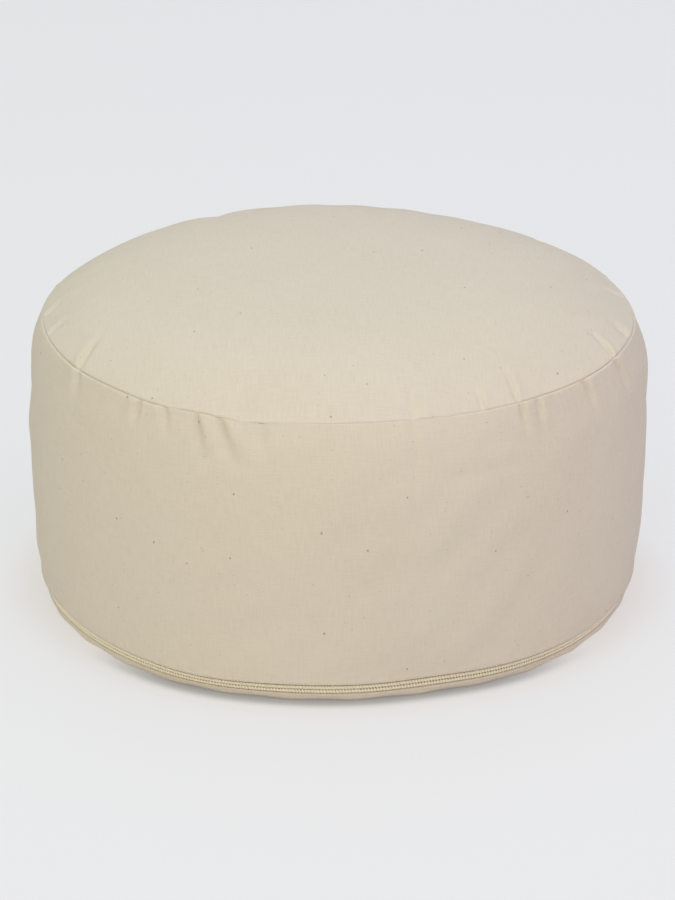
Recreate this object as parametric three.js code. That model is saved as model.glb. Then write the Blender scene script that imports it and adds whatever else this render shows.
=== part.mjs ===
// Zafu: a round, firmly filled meditation cushion in unbleached cotton canvas.
// A domed top panel, an upright side band and a flat base panel are sewn into one filled cover,
// and a coil zip lies in the front of the lower seam, its ends tucked in where that seam runs plain.
// Millimetres, +Z up, floor at z = 0. An angle is in degrees round the axis, from the front (-Y)
// towards the right (+X).

import * as THREE from 'three';
import { mergeVertices } from 'three/addons/utils/BufferGeometryUtils.js';

// Filled cover: radii and heights of its seams and panels
const CROWN_HEIGHT = 175;
const SEAM_HEIGHT = 148;
const SEAM_RADIUS = 153;
const BAND_FOOT_HEIGHT = 10;
const BAND_FOOT_RADIUS = 156;
const BASE_RADIUS = 151.5;

// Pulls that round the panels: the belly of the band and the shoulder of the top panel
const BELLY_LOW = { radius: 159.5, rise: 0.33 };
const BELLY_HIGH = { radius: 164.5, rise: 0.72 };
const SHOULDER = { radius: 120, height: 174 };
const CROWN_FLAT_RADIUS = 76;

// Seam between top panel and band: a sunk stitch line under the band's turned edge
const SEAM_DEPTH = 1.5;
const SEAM_LIP = 0.4;
const SEAM_HALF_WIDTH = 1.2;

// Coil zip
const ZIP_LENGTH = 600;
const ZIP_CHAIN_WIDTH = 5.8;
const ZIP_TILT = THREE.MathUtils.degToRad(20);
const COIL_HEIGHT = 1.5;
const COIL_SUNK = 0.2;
const TAPE_THICKNESS = 1;
const PIECE_GAP = 0.3;

// Channel that the zip lies in, and the plain seam that carries on behind it
const CHANNEL_HALF_WIDTH = ZIP_CHAIN_WIDTH / 2 + PIECE_GAP;
const CHANNEL_DEPTH = COIL_SUNK + COIL_HEIGHT + PIECE_GAP + TAPE_THICKNESS + PIECE_GAP;
const PLAIN_HALF_WIDTH = 0.8;
const PLAIN_DEPTH = 1.3;
const CHANNEL_PAST_ZIP = 1;
const CHANNEL_CLOSES_OVER = 4;
const BASE_LIP = { reach: 1.3, height: 0.4 };

// Where the foot of the band turns in to the zip
const ZIP_MIDDLE = new THREE.Vector2(
  BAND_FOOT_RADIUS - CHANNEL_HALF_WIDTH * Math.sin(ZIP_TILT),
  BAND_FOOT_HEIGHT - CHANNEL_HALF_WIDTH * Math.cos(ZIP_TILT),
);
const ZIP_HALF_ANGLE = THREE.MathUtils.radToDeg(ZIP_LENGTH / 2 / ZIP_MIDDLE.x);

// Fineness of the solids
const COVER_SEGMENTS = 180;
const ZIP_STEPS = 84;
const BASE_STATIONS = [0, 0.62, 1];
const BAND_STATIONS = [0.02, 0.08, 0.2, 0.34, 0.48, 0.62, 0.73, 0.81, 0.87, 0.92, 0.96];
const TOP_STATIONS = [0.03, 0.06, 0.1, 0.15, 0.21, 0.3, 0.44, 0.62, 0.81, 1];

// Gathers at the top seam. Each is a trough that runs from the seam into its panel:
// angle in degrees, reach, width and depth in mm, and its sideways drift over that reach.
const GATHERS = [
  { panel: 'top', angle: -86, reach: 26, width: 9, depth: 2.2, drift: -10 },
  { panel: 'top', angle: -74, reach: 17, width: 8, depth: 1.6, drift: -3 },
  { panel: 'top', angle: -60, reach: 22, width: 8, depth: 2.6, drift: -6 },
  { panel: 'top', angle: -18, reach: 18, width: 10, depth: 1.5, drift: -3 },
  { panel: 'top', angle: 18, reach: 18, width: 10, depth: 1.4, drift: 5 },
  { panel: 'top', angle: 30, reach: 22, width: 8, depth: 2.0, drift: 9 },
  { panel: 'top', angle: 38, reach: 30, width: 8, depth: 2.0, drift: 14 },
  { panel: 'top', angle: 66, reach: 24, width: 8, depth: 2.8, drift: 9 },
  { panel: 'top', angle: 78, reach: 18, width: 8, depth: 1.6, drift: 5 },
  { panel: 'top', angle: -148, reach: 70, width: 14, depth: 4.5, drift: 0 },
  { panel: 'band', angle: -60, reach: 18, width: 8, depth: 1.5, drift: 4 },
  { panel: 'band', angle: -44, reach: 15, width: 8, depth: 2.4, drift: 0 },
  { panel: 'band', angle: -38, reach: 16, width: 8, depth: 1.6, drift: 4 },
  { panel: 'band', angle: -30, reach: 21, width: 8, depth: 2.6, drift: 6 },
  { panel: 'band', angle: -24, reach: 28, width: 9, depth: 2.8, drift: 13 },
  { panel: 'band', angle: 36, reach: 16, width: 8, depth: 1.8, drift: 2 },
  { panel: 'band', angle: 42, reach: 16, width: 8, depth: 1.7, drift: 0 },
  { panel: 'band', angle: 58, reach: 18, width: 8, depth: 1.8, drift: 2 },
  { panel: 'band', angle: 70, reach: 20, width: 8, depth: 2.0, drift: 4 },
  ...gathersBehind(),
];

// Where an edge or the crown sits low, or high where the drop is negative:
// angle and spread in degrees, drop in mm
const SAGS = [
  { edge: 'seam', angle: -76, spread: 12, drop: -1.4 },
  { edge: 'seam', angle: -37, spread: 7, drop: 1.2 },
  { edge: 'seam', angle: -17, spread: 7, drop: 2.2 },
  { edge: 'seam', angle: 10, spread: 15, drop: -0.9 },
  { edge: 'seam', angle: 56, spread: 10, drop: 0.6 },
  { edge: 'zip', angle: -68, spread: 10, drop: -0.8 },
  { edge: 'zip', angle: -26, spread: 12, drop: 1.3 },
  { edge: 'zip', angle: 18, spread: 10, drop: -0.6 },
  { edge: 'crown', angle: 138, spread: 40, drop: 1.8 },
  { edge: 'crown', angle: 96, spread: 18, drop: 2.2 },
];

// Uneven filling that swells the cover, or leaves it slack where the size is negative:
// angle and turn in degrees, height, tall and size in mm
const SWELLS = [
  { angle: 84, height: 127, turn: 30, tall: 12, size: 1.8 },
  { angle: 104, height: 150, turn: 14, tall: 14, size: -2.0 },
  { angle: 70, height: 4, turn: 20, tall: 11, size: -1.6 },
  { angle: 18, height: 4, turn: 12, tall: 24, size: -2.0 },
  { angle: -31, height: 4, turn: 18, tall: 26, size: 2.4 },
  { angle: -90, height: 36, turn: 34, tall: 18, size: 0.8 },
  { angle: 150, height: 70, turn: 30, tall: 40, size: 1.0 },
  { angle: -140, height: 50, turn: 30, tall: 36, size: -0.8 },
];
const CROWN_LEAN = 6;

// Ripples in the gathered edge of the base panel
const BASE_RIPPLES = { count: 30, size: 0.5 };

// The unseen side: gathers at an even pace, with sizes that repeat out of step
function gathersBehind() {
  const first = 98;
  const last = 262;
  const pace = 12;
  const width = 8;
  const panels = ['top', 'band', 'band', 'top', 'band'];
  const reaches = [18, 15, 22, 26];
  const depths = [1.4, 1.9, 1.6];
  const rows = [];
  for (let n = 0; first + n * pace <= last; n++) {
    rows.push({
      panel: panels[n % panels.length],
      angle: first + n * pace,
      reach: reaches[n % reaches.length],
      width,
      depth: depths[n % depths.length],
      drift: n % 3 - 1,
    });
  }
  return rows;
}

// Helpers for angles and soft shapes
const turnBetween = (a, b) => THREE.MathUtils.euclideanModulo(a - b + 180, 360) - 180;
const bell = (x) => Math.exp(-x * x);
const ramp = THREE.MathUtils.smoothstep;
const mix = THREE.MathUtils.lerp;

// Curves of the two shaped panels, from the foot of the band over the seam to the crown
const seamPoint = new THREE.Vector2(SEAM_RADIUS, SEAM_HEIGHT);
const bandRise = (share) => mix(BAND_FOOT_HEIGHT, SEAM_HEIGHT, share);
const bandCurve = new THREE.CubicBezierCurve(
  new THREE.Vector2(BAND_FOOT_RADIUS, BAND_FOOT_HEIGHT),
  new THREE.Vector2(BELLY_LOW.radius, bandRise(BELLY_LOW.rise)),
  new THREE.Vector2(BELLY_HIGH.radius, bandRise(BELLY_HIGH.rise)),
  seamPoint,
);
const topCurve = new THREE.CubicBezierCurve(
  seamPoint,
  new THREE.Vector2(SHOULDER.radius, SHOULDER.height),
  new THREE.Vector2(CROWN_FLAT_RADIUS, CROWN_HEIGHT),
  new THREE.Vector2(0, CROWN_HEIGHT),
);

// Outward normal of a section curve that is walked upwards and inwards
function outward(curve, share) {
  const along = curve.getTangent(share);
  return new THREE.Vector2(along.y, -along.x);
}

// How deep the gathers press a panel, at an angle and a distance from the seam
function gatherDepth(panel, angle, fromSeam) {
  let depth = 0;
  for (const row of GATHERS) {
    if (row.panel !== panel || fromSeam >= row.reach) continue;
    const run = fromSeam / row.reach;
    const turn = THREE.MathUtils.degToRad(turnBetween(angle, row.angle));
    const sideways = turn * SEAM_RADIUS - row.drift * run;
    depth += row.depth * (1 - run) ** 2 * bell(sideways / (row.width / 2));
  }
  return depth;
}

// A point of a shaped panel, pressed in by its gathers
function panelPoint(panel, curve, share, angle) {
  const point = curve.getPoint(share);
  const press = gatherDepth(panel, angle, point.distanceTo(seamPoint));
  return point.addScaledVector(outward(curve, share), -press);
}

// Zip channel: u runs up across the zip from its middle, v stands out from the cover
const acrossZip = new THREE.Vector2(Math.sin(ZIP_TILT), Math.cos(ZIP_TILT));
const outOfZip = new THREE.Vector2(Math.cos(ZIP_TILT), -Math.sin(ZIP_TILT));

function channelPoint(u, v) {
  return ZIP_MIDDLE.clone().addScaledVector(acrossZip, u).addScaledVector(outOfZip, v);
}

// 1 along the zip, easing to 0 where the plain seam takes over
function zipPresence(angle) {
  const past = Math.abs(turnBetween(angle, 0)) - ZIP_HALF_ANGLE;
  return 1 - ramp(past, CHANNEL_PAST_ZIP, CHANNEL_PAST_ZIP + CHANNEL_CLOSES_OVER);
}

// The cover's section at one angle, from the middle of the base to the crown
function coverSection(angle) {
  const presence = zipPresence(angle);
  const half = mix(PLAIN_HALF_WIDTH, CHANNEL_HALF_WIDTH, presence);
  const depth = mix(PLAIN_DEPTH, CHANNEL_DEPTH, presence);
  const ripple = BASE_RIPPLES.size * Math.sin(THREE.MathUtils.degToRad(angle * BASE_RIPPLES.count));
  const baseEdge = BASE_RADIUS + ripple;
  const lowerFold = channelPoint(-half, 0);

  const base = BASE_STATIONS.map((share) => new THREE.Vector2(share * baseEdge, 0));
  const lip = new THREE.Vector2(baseEdge + BASE_LIP.reach, lowerFold.y * BASE_LIP.height);
  const channel = [
    lowerFold,
    channelPoint(-half, -depth),
    channelPoint(half, -depth),
    channelPoint(half, 0),
  ];
  const band = BAND_STATIONS.map((share) => panelPoint('band', bandCurve, share, angle));
  const top = TOP_STATIONS.map((share) => panelPoint('top', topCurve, share, angle));
  return [...base, lip, ...channel, ...band, ...seamGroove(angle), ...top];
}

// The stitch line: the band's turned edge stands proud, and the top panel dips under it
function seamGroove(angle) {
  const bandSide = outward(bandCurve, 1);
  const topSide = outward(topCurve, 0);
  const inward = bandSide.clone().add(topSide).normalize();
  const lip = seamPoint
    .clone()
    .addScaledVector(bandCurve.getTangent(1), -SEAM_HALF_WIDTH)
    .addScaledVector(bandSide, SEAM_LIP - gatherDepth('band', angle, 0) / 2);
  const stitch = seamPoint.clone().addScaledVector(inward, -SEAM_DEPTH);
  const edge = seamPoint
    .clone()
    .addScaledVector(topCurve.getTangent(0), SEAM_HALF_WIDTH)
    .addScaledVector(topSide, -gatherDepth('top', angle, 0) / 2);
  return [lip, stitch, edge];
}

// Share of a sag that reaches a point: all of it at its own edge, none at the floor or the very crown
const ZIP_SAG_FADES_BY = 30;
const CROWN_SAG_INSET = 0.2;
const crownSag = (inset) => inset * (1 - inset) ** (1 / CROWN_SAG_INSET - 1);

function sagShare(edge, { x: radius, y: height }) {
  const inset = Math.max(1 - radius / SEAM_RADIUS, 0);
  switch (edge) {
    case 'zip':
      return Math.min(height / BAND_FOOT_HEIGHT, 1) * (1 - ramp(height, BAND_FOOT_HEIGHT, ZIP_SAG_FADES_BY));
    case 'seam':
      return ramp(height, SEAM_HEIGHT / 2, SEAM_HEIGHT) * (1 - ramp(height, SEAM_HEIGHT, CROWN_HEIGHT));
    default:
      return height > SEAM_HEIGHT ? crownSag(inset) / crownSag(CROWN_SAG_INSET) : 0;
  }
}

// Where a section point settles in the filled cushion, with the filling's unevenness
function settled(point, angle) {
  const turn = THREE.MathUtils.degToRad(angle);
  let radius = point.x;
  for (const row of SWELLS) {
    const away = turnBetween(angle, row.angle) / row.turn;
    const above = (point.y - row.height) / row.tall;
    radius += row.size * bell(away) * bell(above) * ramp(point.x, 0, SEAM_RADIUS);
  }
  let height = point.y;
  for (const row of SAGS) {
    height -= row.drop * sagShare(row.edge, point) * bell(turnBetween(angle, row.angle) / row.spread);
  }
  if (point.y > SEAM_HEIGHT) {
    const out = point.x / SEAM_RADIUS;
    height -= CROWN_LEAN * Math.max(1 - out, 0) * out * Math.sin(turn);
  }
  return new THREE.Vector3(radius * Math.sin(turn), -radius * Math.cos(turn), height);
}

// One closed skin: only positions, shared along every edge
function closedSkin(geometry) {
  geometry.deleteAttribute('normal');
  geometry.deleteAttribute('uv');
  const skin = mergeVertices(geometry, 1e-3);
  skin.computeVertexNormals();
  return skin;
}

// The filled cover: the front section turned round the axis, each angle moved to its own section
function coverGeometry() {
  const stations = coverSection(0);
  const lathe = new THREE.LatheGeometry(stations, COVER_SEGMENTS);
  const position = lathe.getAttribute('position');
  for (let segment = 0; segment <= COVER_SEGMENTS; segment++) {
    const angle = ((segment % COVER_SEGMENTS) / COVER_SEGMENTS) * 360;
    coverSection(angle).forEach((point, station) => {
      const { x, y, z } = settled(point, angle);
      position.setXYZ(segment * stations.length + station, x, y, z);
    });
  }
  return closedSkin(lathe);
}

// The arc that the middle of the zip follows
function zipPath() {
  const points = [];
  for (let step = 0; step <= ZIP_STEPS; step++) {
    const turn = THREE.MathUtils.degToRad(mix(-ZIP_HALF_ANGLE, ZIP_HALF_ANGLE, step / ZIP_STEPS));
    points.push(
      new THREE.Vector3(ZIP_MIDDLE.x * Math.sin(turn), -ZIP_MIDDLE.x * Math.cos(turn), ZIP_MIDDLE.y),
    );
  }
  return new THREE.CatmullRomCurve3(points);
}

// A strip of the zip: its outline (u, v) in the channel is carried along the arc, then settled
function zipStrip(outline) {
  const section = new THREE.Shape(
    outline.map(([u, v]) => {
      const point = channelPoint(u, v).sub(ZIP_MIDDLE);
      return new THREE.Vector2(-point.y, -point.x);
    }),
  );
  const strip = new THREE.ExtrudeGeometry(section, { steps: ZIP_STEPS, extrudePath: zipPath() });
  const position = strip.getAttribute('position');
  const at = new THREE.Vector3();
  for (let n = 0; n < position.count; n++) {
    at.fromBufferAttribute(position, n);
    const angle = THREE.MathUtils.radToDeg(Math.atan2(at.x, -at.y));
    const { x, y, z } = settled(new THREE.Vector2(Math.hypot(at.x, at.y), at.z), angle);
    position.setXYZ(n, x, y, z);
  }
  return closedSkin(strip);
}

// Outlines of the lower strips, mirrored for the upper ones
const ROW_INNER = PIECE_GAP / 2;
const ROW_OUTER = ZIP_CHAIN_WIDTH / 2;
const TAPE_BACK = -CHANNEL_DEPTH + PIECE_GAP;
const COIL_BACK = TAPE_BACK + TAPE_THICKNESS + PIECE_GAP;
const COIL_SHOULDER = 0.6;

function tapeOutline(side) {
  return [
    [side * ROW_INNER, TAPE_BACK],
    [side * ROW_OUTER, TAPE_BACK],
    [side * ROW_OUTER, TAPE_BACK + TAPE_THICKNESS],
    [side * ROW_INNER, TAPE_BACK + TAPE_THICKNESS],
  ];
}

function coilOutline(side) {
  const shoulder = COIL_BACK + COIL_HEIGHT * COIL_SHOULDER;
  return [
    [side * ROW_INNER, COIL_BACK],
    [side * ROW_OUTER, COIL_BACK],
    [side * ROW_OUTER, shoulder],
    [side * mix(ROW_INNER, ROW_OUTER, COIL_SHOULDER), COIL_BACK + COIL_HEIGHT],
    [side * ROW_INNER, COIL_BACK + COIL_HEIGHT * COIL_SHOULDER],
  ];
}

// Finishes
const CANVAS = { color: 0xdcd2bf, roughness: 0.95, metalness: 0 };
const ZIP_TAPE = { color: 0xd9cdaa, roughness: 0.9, metalness: 0 };
const ZIP_COIL = { color: 0xe2d8b8, roughness: 0.5, metalness: 0 };

function piece(name, geometry, finish) {
  const mesh = new THREE.Mesh(geometry, new THREE.MeshStandardMaterial(finish));
  mesh.name = name;
  return mesh;
}

const LOWER = -1;
const UPPER = 1;
const zip = new THREE.Group();
zip.add(
  piece('zip_tape_lower', zipStrip(tapeOutline(LOWER)), ZIP_TAPE),
  piece('zip_tape_upper', zipStrip(tapeOutline(UPPER)), ZIP_TAPE),
  piece('zip_coil_lower', zipStrip(coilOutline(LOWER)), ZIP_COIL),
  piece('zip_coil_upper', zipStrip(coilOutline(UPPER)), ZIP_COIL),
);

const zafu = new THREE.Group();
zafu.add(piece('cushion', coverGeometry(), CANVAS), zip);

export default zafu;
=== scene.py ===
"""Zafu meditation cushion: its filled canvas cover, its coil zip and a pale studio floor.

The classes hold their sizes in millimetres, and the meshes are made in metres. An angle is in
degrees round the axis, from the front (-Y) towards the right (+X).
"""
import logging
import math
from dataclasses import dataclass, field
from enum import Enum
from functools import cached_property

import bpy
import numpy as np
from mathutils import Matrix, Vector


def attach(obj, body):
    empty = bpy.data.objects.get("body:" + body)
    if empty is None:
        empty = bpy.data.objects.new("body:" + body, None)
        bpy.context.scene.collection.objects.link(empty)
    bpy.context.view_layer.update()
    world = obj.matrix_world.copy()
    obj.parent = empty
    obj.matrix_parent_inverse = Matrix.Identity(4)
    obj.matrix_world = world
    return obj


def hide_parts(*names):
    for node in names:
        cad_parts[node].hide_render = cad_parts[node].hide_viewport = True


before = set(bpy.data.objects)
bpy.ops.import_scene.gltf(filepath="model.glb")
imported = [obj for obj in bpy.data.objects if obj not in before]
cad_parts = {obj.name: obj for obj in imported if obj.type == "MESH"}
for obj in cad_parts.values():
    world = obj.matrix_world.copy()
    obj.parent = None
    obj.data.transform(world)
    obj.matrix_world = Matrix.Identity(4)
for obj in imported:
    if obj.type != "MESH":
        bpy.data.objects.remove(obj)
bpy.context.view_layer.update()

log = logging.getLogger("zafu")

MM = 0.001
FULL_TURN = 360.0

Array = np.ndarray
Colour = tuple[float, float, float]
Point = tuple[float, float]
Socket = bpy.types.NodeSocket


def turn_between(angle: Array, other: float) -> Array:
    """Signed turn from one angle to another.

    Args:
        angle: Angles in degrees.
        other: The angle to measure from.

    Returns:
        The turns, from -180 to 180 degrees.
    """
    return (angle - other + 180.0) % FULL_TURN - 180.0


def bell(x: Array) -> Array:
    """A smooth bump that is 1 at 0 and dies away on both sides."""
    return np.exp(-np.square(x))


def ramp(x: Array, low: float, high: float) -> Array:
    """Eased step.

    Args:
        x: Values to ease.
        low: Where the step leaves 0.
        high: Where it reaches 1.

    Returns:
        Shares from 0 to 1.
    """
    share = np.clip((x - low) / (high - low), 0.0, 1.0)
    return share * share * (3.0 - 2.0 * share)


class Panel(Enum):
    """Sewn panels of the cover."""

    BASE = "base"
    BAND = "band"
    TOP = "top"


class Edge(Enum):
    """Lines of the cover that can sit low or high."""

    ZIP = "zip"
    SEAM = "seam"
    CROWN = "crown"


class Row(Enum):
    """The two rows of a coil zip, with the side of the zip's middle that each lies on."""

    LOWER = -1
    UPPER = 1


@dataclass(frozen=True)
class Gather:
    """A pucker that runs from the top seam into one panel.

    Reach, width, depth and drift are in mm. The fold that stands beside the trough lies on the side
    of its sign, and its size is a share of the depth.
    """

    panel: Panel
    angle: float
    reach: float
    width: float
    depth: float
    drift: float = 0.0
    fold: float = 0.5

    FOLD_AWAY = 2.1
    FOLD_SPREAD = 1.6
    OPENS_BY = 0.9
    FULL_AT = 0.22
    AT_SEAM = 0.6
    HALF_ARC = 2.4

    def press(self, angle: Array, from_seam: Array, radius: float) -> Array:
        """How deep the pucker presses its panel.

        Args:
            angle: Angles in degrees.
            from_seam: Distances from the seam along the panel, in mm.
            radius: Radius of the seam, which turns angles into widths.

        Returns:
            Depths in mm, negative on the fold that stands up.
        """
        run = np.clip(from_seam / self.reach, 0.0, 1.0)
        sideways = np.radians(turn_between(angle, self.angle)) * radius - self.drift * run
        across = sideways / (self.width / 2.0 * (1.0 + self.OPENS_BY * run))
        beside = math.copysign(self.FOLD_AWAY, self.fold)
        stand = abs(self.fold) * bell((across - beside) / self.FOLD_SPREAD)
        rise = self.AT_SEAM + (1.0 - self.AT_SEAM) * ramp(run, 0.0, self.FULL_AT)
        return self.depth * rise * (1.0 - run**2) ** 2 * (bell(across) - stand)

    def spread(self) -> tuple[float, float]:
        """Middle and half width in degrees of the arc that the pucker covers."""
        drift = math.degrees(self.drift / CoverShape.seam_radius)
        return self.angle + drift / 2.0, self.HALF_ARC + abs(drift) / 2.0


@dataclass(frozen=True)
class Crease:
    """A faint fold line on the band, between two places of angle in degrees and height in mm."""

    start: Point
    end: Point
    width: float
    depth: float

    FADES_IN = (-0.15, 0.35)
    FADES_OUT = (0.65, 1.15)

    def press(self, angle: Array, height: Array, radius: float) -> Array:
        """How deep the crease presses the band.

        Args:
            angle: Angles in degrees.
            height: Heights in mm.
            radius: Radius that turns angles into widths.

        Returns:
            Depths in mm.
        """
        way = np.array(self.end) - np.array(self.start)
        share = turn_between(angle, self.start[0]) / way[0]
        middle = self.start[1] + way[1] * share
        steep = way[1] / (math.radians(way[0]) * radius)
        across = (height - middle) / math.hypot(1.0, steep) / (self.width / 2.0)
        fade = ramp(share, *self.FADES_IN) * (1.0 - ramp(share, *self.FADES_OUT))
        return self.depth * fade * bell(across)


@dataclass(frozen=True)
class Sag:
    """A stretch of an edge that sits low, or high where the drop is negative."""

    edge: Edge
    angle: float
    spread: float
    drop: float


@dataclass(frozen=True)
class Swell:
    """A place where the filling swells the cover, or leaves it slack where the size is negative."""

    angle: float
    height: float
    turn: float
    tall: float
    size: float


@dataclass(frozen=True)
class SectionCurve:
    """A cubic curve in the cover's section, of radius and height in mm."""

    start: Point
    leave: Point
    arrive: Point
    end: Point

    STEPS = 801

    def at(self, share: Array) -> Array:
        """Points of the curve.

        Args:
            share: Shares of the way along, from 0 to 1.

        Returns:
            Radius and height in the last axis.
        """
        t = np.asarray(share, dtype=float)[..., None]
        rest = 1.0 - t
        a, b, c, d = (np.array(p) for p in (self.start, self.leave, self.arrive, self.end))
        return rest**3 * a + 3.0 * rest**2 * t * b + 3.0 * rest * t**2 * c + t**3 * d

    def along(self, share: Array) -> Array:
        """Unit tangents of the curve at the given shares."""
        t = np.asarray(share, dtype=float)[..., None]
        rest = 1.0 - t
        a, b, c, d = (np.array(p) for p in (self.start, self.leave, self.arrive, self.end))
        slope = rest**2 * (b - a) + 2.0 * rest * t * (c - b) + t**2 * (d - c)
        return slope / np.linalg.norm(slope, axis=-1, keepdims=True)

    def outward(self, share: Array) -> Array:
        """Unit normals that point out of the cover at the given shares."""
        along = self.along(share)
        return np.stack([along[..., 1], -along[..., 0]], axis=-1)

    def length(self) -> float:
        """Length of the curve."""
        return float(self.travelled()[1][-1])

    def travelled(self) -> tuple[Array, Array]:
        """Shares along the curve, and how far along it each is."""
        shares = np.linspace(0.0, 1.0, self.STEPS)
        steps = np.linalg.norm(np.diff(self.at(shares), axis=0), axis=1)
        return shares, np.concatenate([[0.0], np.cumsum(steps)])

    def share_at(self, distance: Array, from_end: bool) -> Array:
        """Shares at distances from one end.

        Args:
            distance: Distances along the curve, in mm.
            from_end: Whether they count from the end of the curve.

        Returns:
            Shares from 0 to 1.
        """
        shares, travelled = self.travelled()
        place = travelled[-1] - distance if from_end else distance
        return np.interp(place, travelled, shares)


@dataclass(frozen=True)
class CoverShape:
    """Section of the filled cover and the unevenness of its filling, as in the solids."""

    crown_height: float = 175.0
    seam_height: float = 148.0
    seam_radius: float = 153.0
    foot_height: float = 10.0
    foot_radius: float = 156.0
    base_radius: float = 151.5
    belly_low: Point = (159.5, 0.33)
    belly_high: Point = (164.5, 0.72)
    shoulder: Point = (120.0, 174.0)
    crown_flat_radius: float = 76.0
    crown_lean: float = 6.0
    crown_sag_inset: float = 0.2
    zip_sag_fades_by: float = 30.0
    zip_tilt: float = 20.0
    zip_length: float = 600.0
    channel_half_width: float = 3.2
    sags: tuple[Sag, ...] = (
        Sag(Edge.SEAM, -76, 12, -1.4),
        Sag(Edge.SEAM, -37, 7, 1.2),
        Sag(Edge.SEAM, -17, 7, 1.3),
        Sag(Edge.SEAM, 10, 15, -0.9),
        Sag(Edge.SEAM, 56, 10, 0.6),
        Sag(Edge.SEAM, 3, 42, 2.2),
        Sag(Edge.ZIP, -68, 10, -0.8),
        Sag(Edge.ZIP, -26, 12, 1.3),
        Sag(Edge.ZIP, 18, 10, -0.6),
        Sag(Edge.CROWN, 138, 40, 1.8),
        Sag(Edge.CROWN, 96, 18, 2.2),
    )
    swells: tuple[Swell, ...] = (
        Swell(84, 127, 30, 12, 1.8),
        Swell(104, 150, 14, 14, -2.0),
        Swell(70, 4, 20, 11, -1.6),
        Swell(18, 4, 12, 24, -2.0),
        Swell(-31, 4, 18, 26, 2.4),
        Swell(-90, 36, 34, 18, 0.8),
        Swell(150, 70, 30, 40, 1.0),
        Swell(-140, 50, 30, 36, -0.8),
        Swell(-90, 134, 22, 11, 1.6),
        Swell(-84, 151, 13, 5, -1.2),
        Swell(3, 157, 42, 30, -4.2),
        Swell(3, 154, 46, 11, -2.4),
    )

    def band_rise(self, share: float) -> float:
        """Height at a share of the way up the band."""
        return self.foot_height + share * (self.seam_height - self.foot_height)

    @cached_property
    def seam(self) -> Array:
        """Radius and height of the top seam."""
        return np.array([self.seam_radius, self.seam_height])

    @cached_property
    def band(self) -> SectionCurve:
        """The band, from its foot up to the top seam."""
        return SectionCurve(
            (self.foot_radius, self.foot_height),
            (self.belly_low[0], self.band_rise(self.belly_low[1])),
            (self.belly_high[0], self.band_rise(self.belly_high[1])),
            (self.seam_radius, self.seam_height),
        )

    @cached_property
    def top(self) -> SectionCurve:
        """The top panel, from its seam in to the crown."""
        return SectionCurve(
            (self.seam_radius, self.seam_height),
            self.shoulder,
            (self.crown_flat_radius, self.crown_height),
            (0.0, self.crown_height),
        )

    @cached_property
    def zip_middle(self) -> Array:
        """Radius and height of the middle of the zip."""
        tilt = math.radians(self.zip_tilt)
        drop = self.channel_half_width * np.array([math.sin(tilt), math.cos(tilt)])
        return np.array([self.foot_radius, self.foot_height]) - drop

    @cached_property
    def zip_half_angle(self) -> float:
        """Angle from the front to either end of the zip."""
        return math.degrees(self.zip_length / 2.0 / self.zip_middle[0])

    def channel(self, up: Array, out: Array) -> Array:
        """Points in the zip's channel.

        Args:
            up: Distances up across the zip from its middle.
            out: Distances out of the cover from its surface there.

        Returns:
            Radius and height in the last axis.
        """
        tilt = math.radians(self.zip_tilt)
        across = np.array([math.sin(tilt), math.cos(tilt)])
        outward = np.array([math.cos(tilt), -math.sin(tilt)])
        up, out = np.broadcast_arrays(np.asarray(up, dtype=float), np.asarray(out, dtype=float))
        return self.zip_middle + up[..., None] * across + out[..., None] * outward

    def sag_share(self, edge: Edge, points: Array) -> Array:
        """Share of a sag that reaches each point of the section.

        Args:
            edge: The edge that sags.
            points: Radius and height in the last axis.

        Returns:
            Shares, 1 at the edge and 0 at the floor or the very crown.
        """
        radius, height = points[..., 0], points[..., 1]
        if edge is Edge.ZIP:
            rise = np.minimum(height / self.foot_height, 1.0)
            return rise * (1.0 - ramp(height, self.foot_height, self.zip_sag_fades_by))
        if edge is Edge.SEAM:
            rise = ramp(height, self.seam_height / 2.0, self.seam_height)
            return rise * (1.0 - ramp(height, self.seam_height, self.crown_height))
        power = 1.0 / self.crown_sag_inset - 1.0
        inset = np.clip(1.0 - radius / self.seam_radius, 0.0, 1.0)
        peak = self.crown_sag_inset * (1.0 - self.crown_sag_inset) ** power
        return np.where(height > self.seam_height, inset * (1.0 - inset) ** power / peak, 0.0)

    def settled(self, points: Array, angle: Array) -> Array:
        """Where section points settle in the filled cushion.

        Args:
            points: Radius and height in the last axis, in mm.
            angle: Angles in degrees, of the same shape without the last axis.

        Returns:
            Positions x, y, z in mm.
        """
        radius, height = points[..., 0], points[..., 1]
        out = radius / self.seam_radius
        moved = radius.copy()
        for row in self.swells:
            near = bell(turn_between(angle, row.angle) / row.turn) * bell((height - row.height) / row.tall)
            moved = moved + row.size * near * ramp(radius, 0.0, self.seam_radius)
        lifted = height.copy()
        for row in self.sags:
            near = bell(turn_between(angle, row.angle) / row.spread)
            lifted = lifted - row.drop * near * self.sag_share(row.edge, points)
        turn = np.radians(angle)
        lean = self.crown_lean * np.maximum(1.0 - out, 0.0) * out * np.sin(turn)
        lifted = lifted - np.where(height > self.seam_height, lean, 0.0)
        return np.stack([moved * np.sin(turn), -moved * np.cos(turn), lifted], axis=-1)


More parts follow.
